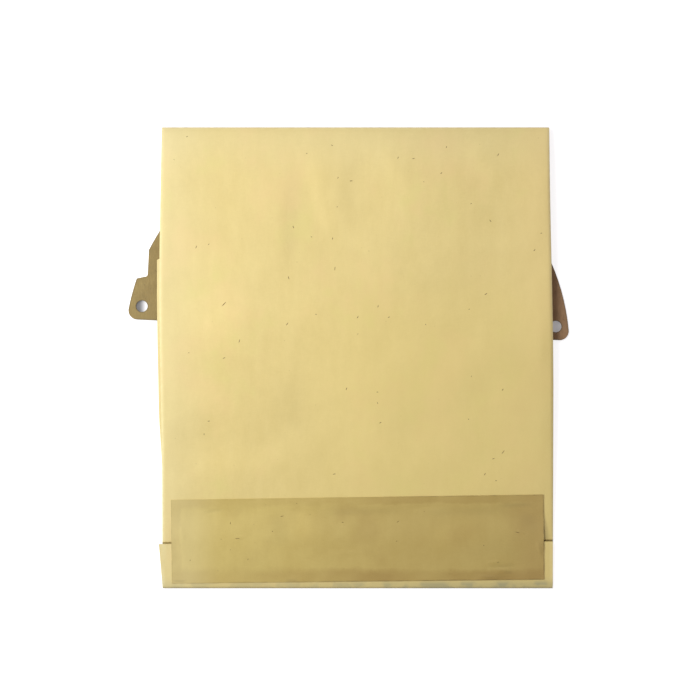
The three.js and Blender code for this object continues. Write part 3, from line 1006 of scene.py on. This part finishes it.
def fibre_tree():
    """One stray fibre laid on every point, turned and stretched by the point's own values."""
    inputs = [("Width", "NodeSocketFloat", 0.0003), ("Material", "NodeSocketMaterial", None)]
    tree, given, result = new_tree("stray_fibres", inputs)
    line = add_node(
        tree, "GeometryNodeCurvePrimitiveBezierSegment", Resolution=6, Start=(-0.5, 0, 0),
        Start_Handle=(-0.2, 0.16, 0), End_Handle=(0.25, -0.1, 0), End=(0.5, 0.05, 0),
    )
    rod = add_node(tree, "GeometryNodeCurvePrimitiveCircle", Resolution=5, Radius=0.5)
    sweep = add_node(tree, "GeometryNodeCurveToMesh", Fill_Caps=True)
    unit = add_node(tree, "GeometryNodeTransform", Scale=(1, 1, 0.4))
    spread = add_node(tree, "GeometryNodeInstanceOnPoints")
    length = add_node(tree, "GeometryNodeInputNamedAttribute", Name="fibre_length")
    heading = add_node(tree, "GeometryNodeInputNamedAttribute", Name="fibre_turn")
    size = add_node(tree, "ShaderNodeCombineXYZ")
    turn = add_node(tree, "ShaderNodeCombineXYZ")
    join(
        tree,
        (line.outputs["Curve"], sweep.inputs["Curve"]),
        (rod.outputs["Curve"], sweep.inputs["Profile Curve"]),
        (sweep.outputs["Mesh"], unit.inputs["Geometry"]),
        (given.outputs["Geometry"], spread.inputs["Points"]),
        (unit.outputs["Geometry"], spread.inputs["Instance"]),
        (length.outputs["Attribute"], size.inputs["X"]),
        (given.outputs["Width"], size.inputs["Y"]),
        (given.outputs["Width"], size.inputs["Z"]),
        (heading.outputs["Attribute"], turn.inputs["Z"]),
        (turn.outputs[0], spread.inputs["Rotation"]),
        (size.outputs[0], spread.inputs["Scale"]),
    )
    return finish_tree(tree, given, result, spread.outputs["Instances"])


def inlet_seal(material):
    """A flat ring with a thick rounded lip, its profile about the middle of its width."""
    top = COLLAR_THICKNESS
    bottom = top - SEAL_THICKNESS
    middle = top - SEAL_THICKNESS / 2
    web = SEAL_INNER + LIP_WIDTH + 0.5
    rounded = 0.12
    outline = [(SEAL_OUTER - rounded, bottom), (SEAL_OUTER, bottom + rounded)]
    outline += [(SEAL_OUTER, top - rounded), (SEAL_OUTER - rounded, top), (web, top)]
    wide, tall = LIP_WIDTH / 2, LIP_HEIGHT / 2
    for turn in np.radians(np.linspace(28, 332, 22)):
        lip = (SEAL_INNER + wide + wide * math.cos(turn), middle + tall * math.sin(turn))
        outline.append(lip)
    outline.append((web, bottom))
    mesh = bpy.data.meshes.new("inlet_seal_ring")
    ring_radius = (SEAL_INNER + SEAL_OUTER) / 2
    points = [((r - ring_radius) * MM, (h - middle) * MM, 0) for r, h in outline]
    mesh.from_pydata(points, [(i, (i + 1) % len(points)) for i in range(len(points))], [])
    seal = add_object("inlet_seal_ring", mesh)
    values = {"Radius": ring_radius * MM, "Steps": 128, "Material": material}
    node_modifier(seal, seal_tree(), values)
    place = Vector((BAG_X + INLET_X, INLET_Y, middle)) * MM
    seal.data.transform(Matrix.Translation(place))
    return face_outwards(seal)


# Larger stray fibres that show on the face: where, length, heading in degrees
FACE_FIBRES = (
    (27, 130, 1.2, 70), (37, 129.5, 1.3, 20), (-12, 117, 1.0, 60), (-3.5, 115, 1.5, 10),
    (55, 120, 1.2, 45), (58.5, 137, 1.0, 80), (92, 132, 1.4, 65), (-41, 85, 1.3, 120),
    (-104, 72, 1.5, 70), (-15.5, 77.5, 1.0, 90), (-14, 58, 1.8, 88), (-44, 52, 1.6, 110),
    (-86, 35, 3.0, 48), (-45, 22, 1.6, 60), (-76, 11, 1.8, 80), (-86, 0, 1.3, 30),
    (-6.5, -20, 1.4, 75), (-96, -41, 1.2, 15), (-99, -49.5, 1.0, 90), (15.5, -42, 1.2, 40),
    (0.8, 26.5, 1.2, 60), (21, 26.5, 1.0, 30), (14, 33.5, 1.1, 85), (84, 41.5, 1.6, 40),
    (87, 89, 1.4, 130), (115.5, 70, 1.2, 60), (95, -20.5, 1.3, 70), (95.5, -61, 2.4, 55),
    (89, -65.5, 1.2, 20), (83.5, -75.5, 1.3, 60), (-14.5, -75.5, 1.5, 15),
)
STRIP_FIBRES = (
    (-48.5, -103, 1.6, 20), (-82, -107.5, 1.2, 85), (-77.5, -117.5, 2.4, 5),
    (27, -106.5, 1.4, 40), (105, -113.5, 2.6, -10),
)


FIBRE_LIFT = 0.03
SMALL_FIBRES = (0.35, 1.0)   # lengths of the ones strewn between


def stray_fibres(name, known, extra, area, height_of, width, tree, material, seed):
    """Dark fibres in the paper's surface: the larger ones in place, small ones strewn between."""
    chance = np.random.default_rng(seed)
    spots = [(x, y, length, math.radians(turn)) for x, y, length, turn in known]
    for _ in range(extra):
        x = chance.uniform(area[0], area[1])
        y = chance.uniform(area[2], area[3])
        spots.append((x, y, chance.uniform(*SMALL_FIBRES), chance.uniform(0, math.pi)))
    made = object_from(name, [(x, y, height_of(x, y) + FIBRE_LIFT) for x, y, _, _ in spots], [])
    set_mark(made, "fibre_length", [spot[2] * MM for spot in spots])
    set_mark(made, "fibre_turn", [spot[3] for spot in spots])
    node_modifier(made, tree, {"Width": width, "Material": material})
    return face_outwards(made)


SHARP_ANGLE = 38


def coat(made, material):
    made.data.materials.clear()
    made.data.materials.append(material)
    made.data.polygons.foreach_set("use_smooth", [True] * len(made.data.polygons))
    made.data.set_sharp_from_angle(angle=math.radians(SHARP_ANGLE))
    return made


def points_in_mm(made):
    """X, Y and Z of every point, about the bag's middle."""
    points = np.empty(len(made.data.vertices) * 3)
    made.data.vertices.foreach_get("co", points)
    x, y, z = points.reshape(-1, 3).T / MM
    return x - BAG_X, y, z


def set_mark(made, name, values):
    made.data.attributes.new(name, "FLOAT", "POINT").data.foreach_set("value", values)


SIDE_WEAR = 1.1              # half widths of the worn lines along the folds
BASE_WEAR = 1.0


def mark_folds(made):
    """Marks for the paper: worn folds, painted shade in the flap's gap and along the mouth's fold,
    and paler and darker patches.
    """
    x, y, z = points_in_mm(made)
    edge = np.where(x < 0, face_edge(-1, y), face_edge(1, y))
    side_inset = np.abs(edge - np.abs(x))
    wear = np.exp(-((side_inset / SIDE_WEAR) ** 2))
    wear = np.maximum(wear, np.exp(-(((BASE_Y - y) / BASE_WEAR) ** 2)))
    at_mouth = (y < flap_edge(x) + 4) & (z > MOUTH_STACK * 0.4)
    # Painted shade in the slit beside the flap's free edge, where the closing strip doesn't reach
    gap = np.where(at_mouth, slit(x, y, np.maximum(0, edge - np.abs(x))), 0)
    gap = np.where((y > flap_edge(x) + 0.02) & (y < flap_edge(x) + 1.4), gap, 0)
    # Painted shade along the mouth's fold and the band just above it, where the paper turns away
    # from the light, stronger towards the right
    rightward = ease((x + 100) / 220)
    soaked = (0.5 + 0.5 * rightward) * np.exp(-(((y - MOUTH_Y) / 0.9) ** 2))
    soaked = np.maximum(soaked, (0.42 + 0.42 * rightward) * (1 - ease((y - MOUTH_Y - 3.4) / 3)))
    set_mark(made, "fold_wear", wear)
    set_mark(made, "flap_gap_shade", gap)
    set_mark(made, "mouth_fold_shade", soaked)
    set_mark(made, "face_tone", ridge_sum(x, y, FACE_TONES))


def map_strip(made):
    """A map of the strip in metres, u along it from the left and v across it from the mouth."""
    x, y, _ = points_in_mm(made)
    set_mark(made, "glue_patch", ridge_sum(x, y, GLUE_PATCHES))
    layer = made.data.uv_layers.new(name="strip_run")
    cos, sin = math.cos(STRIP_TURN), math.sin(STRIP_TURN)
    for loop in made.data.loops:
        x, y, _ = made.data.vertices[loop.vertex_index].co
        dx, dy = x - (BAG_X + STRIP_X) * MM, y - STRIP_Y * MM
        u = dx * cos + dy * sin + STRIP_LENGTH * MM / 2
        v = dy * cos - dx * sin + STRIP_WIDTH * MM / 2
        layer.data[loop.index].uv = (u, v)


def place_piece(made, slot, *nodes):
    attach(made, "root")
    if nodes:
        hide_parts(*nodes)
    return made

# Camera
CAMERA_PLACE = (0.0009, 0.0052)
CAMERA_HEIGHT = 3.0          # over the plane at PICTURE_Z, where the picture is FRAME_WIDTH wide
PICTURE_Z = 0.008
FRAME_WIDTH = 0.45504
SENSOR = 36
LAMP_SIZE = 0.3
camera = add_object("camera", bpy.data.cameras.new("camera"))
camera.location = (*CAMERA_PLACE, CAMERA_HEIGHT + PICTURE_Z)
camera.data.sensor_width = SENSOR
camera.data.lens = SENSOR * CAMERA_HEIGHT / FRAME_WIDTH
camera.data.clip_end = 20
bpy.context.scene.camera = camera
bpy.context.scene.view_settings.view_transform = "Standard"

# Pieces
fibre_group = paper_fibre_group()
straw = straw_paper(fibre_group)
bag = coat(paper_bag(), straw)
mark_folds(bag)
place_piece(bag, "bag_paper", "paper_bag")

strip = coat(closing_strip(), strip_paper(fibre_group))
map_strip(strip)
place_piece(strip, "strip_paper", "closing_strip")

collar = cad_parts["collar_card"]
collar.data.materials.clear()
collar.data.materials.append(collar_board())

rubber = seal_rubber()
seal = coat(inlet_seal(rubber), rubber)
place_piece(seal, "seal_rubber", "inlet_seal")

fibres = fibre_tree()
dark_fibre = fibre_brown("dark_pulp_fibre", tint(92, 70, 34))
on_face = stray_fibres(
    "face_fibres", FACE_FIBRES, 20, (-122, 122, -84, 144), lambda x, y: float(face_height(x, y)),
    0.00042, fibres, dark_fibre, 5,
)
place_piece(coat(on_face, dark_fibre), "bag_paper")
strip_fibre = fibre_brown("strip_pulp_fibre", tint(98, 78, 40))
on_strip = stray_fibres(
    "strip_fibres", STRIP_FIBRES, 10, (-112, 112, -140, -94),
    lambda x, y: strip_place(x - STRIP_X, y - STRIP_Y - STRIP_TURN * x, STRIP_PAPER)[2],
    0.00038, fibres, strip_fibre, 8,
)
place_piece(coat(on_strip, strip_fibre), "strip_paper")


# Light
def mix_shaders(share, first, second, output):
    """Sends out the first shader where the share is 0, the second where it is 1."""
    node = add_node(share.tree, "ShaderNodeMixShader")
    wire(share.tree, share, node.inputs[0])
    join(
        share.tree,
        (first.outputs[0], node.inputs[1]),
        (second.outputs[0], node.inputs[2]),
        (node.outputs[0], output.inputs["Surface"]),
    )


def soft_lamp(name, place, watts, colour):
    """A round lamp that shines at the origin."""
    lamp = bpy.data.lights.new(name, "AREA")
    lamp.shape = "DISK"
    lamp.size = LAMP_SIZE
    lamp.energy = watts
    lamp.color = colour
    made = add_object(name, lamp)
    made.location = place
    made.rotation_euler = (-Vector(place)).to_track_quat("-Z", "Y").to_euler()


soft_lamp("left_lamp", (-0.7, 0.0, 0.5), 3.35, (0.98, 1.0, 0.95))
soft_lamp("upper_softbox", (-0.2, 0.21, 0.62), 2.2, (1.0, 1.0, 0.99))

# A dim room for diffuse light, white where the camera and reflections see it
world = bpy.data.worlds.new("soft_room")
bpy.context.scene.world = world
world.use_nodes = True
sky = world.node_tree
fill = sky.nodes["Background"]
fill.inputs["Color"].default_value = (1.0, 0.94, 1.04, 1)
fill.inputs["Strength"].default_value = 0.34
white = add_node(sky, "ShaderNodeBackground", Color=(1, 1, 1, 1), Strength=1.0)
rays = add_node(sky, "ShaderNodeLightPath").outputs
seen = [Value(sky, rays[f"Is {kind} Ray"]) for kind in ("Camera", "Glossy", "Transmission")]
mix_shaders(largest(*seen), fill, white, sky.nodes["World Output"])

# Floor, white to the camera and clear from below
FLOOR_REACH = 2.5
FLOOR_Z = -0.0001
FLOOR_COLOUR = (0.6, 0.59, 0.61)
FLOOR_GLOW = 0.78
# The floor shows grey in the tab holes: a hole's middle, where its shade ends along X, and the
# shares of the floor's colour and glow that are left in the shade
HOLE_SHADES = (
    ((-0.1347, 0.03371, 0), (-0.1365, -0.1295), 0.25, 0.15),
    ((0.13498, 0.02048, 0), (0.2, 0.3), 1.0, 0.24),
)
HOLE_SHADE_EDGE = (0.0048, 0.0062)
floor_mesh = bpy.data.meshes.new("floor")
corners = ((-1, -1), (1, -1), (1, 1), (-1, 1))
floor_points = [(x * FLOOR_REACH, y * FLOOR_REACH, FLOOR_Z) for x, y in corners]
floor_mesh.from_pydata(floor_points, [], [(0, 1, 2, 3)])
floor = add_object("floor", floor_mesh)
pale, tree, shader = new_material("pale_table")
shader.inputs["Roughness"].default_value = 0.9
shader.inputs["Specular IOR Level"].default_value = 0.1
shader.inputs["Emission Color"].default_value = (1, 1, 1, 1)
position = object_position(tree)
glow = source(tree, "ShaderNodeLightPath", "Is Camera Ray") * FLOOR_GLOW
colour = (*FLOOR_COLOUR, 1)
for middle, shade_end, colour_share, glow_share in HOLE_SHADES:
    away = add_node(tree, "ShaderNodeVectorMath")
    away.operation = "DISTANCE"
    away.inputs[1].default_value = middle
    wire(tree, position, away.inputs[0])
    around = ramp(Value(tree, away.outputs["Value"]), *HOLE_SHADE_EDGE)
    outside = largest(around, ramp(parts_of(position)[0], *shade_end))
    glow = glow * (outside * (1 - glow_share) + glow_share)
    shaded = (*(channel * colour_share for channel in FLOOR_COLOUR), 1)
    colour = blend(outside, shaded, colour)
wire(tree, colour, shader.inputs["Base Color"])
wire(tree, glow, shader.inputs["Emission Strength"])
below = source(tree, "ShaderNodeNewGeometry", "Backfacing")
clear = add_node(tree, "ShaderNodeBsdfTransparent")
mix_shaders(below, shader, clear, tree.nodes["Material Output"])
floor_mesh.materials.append(pale)
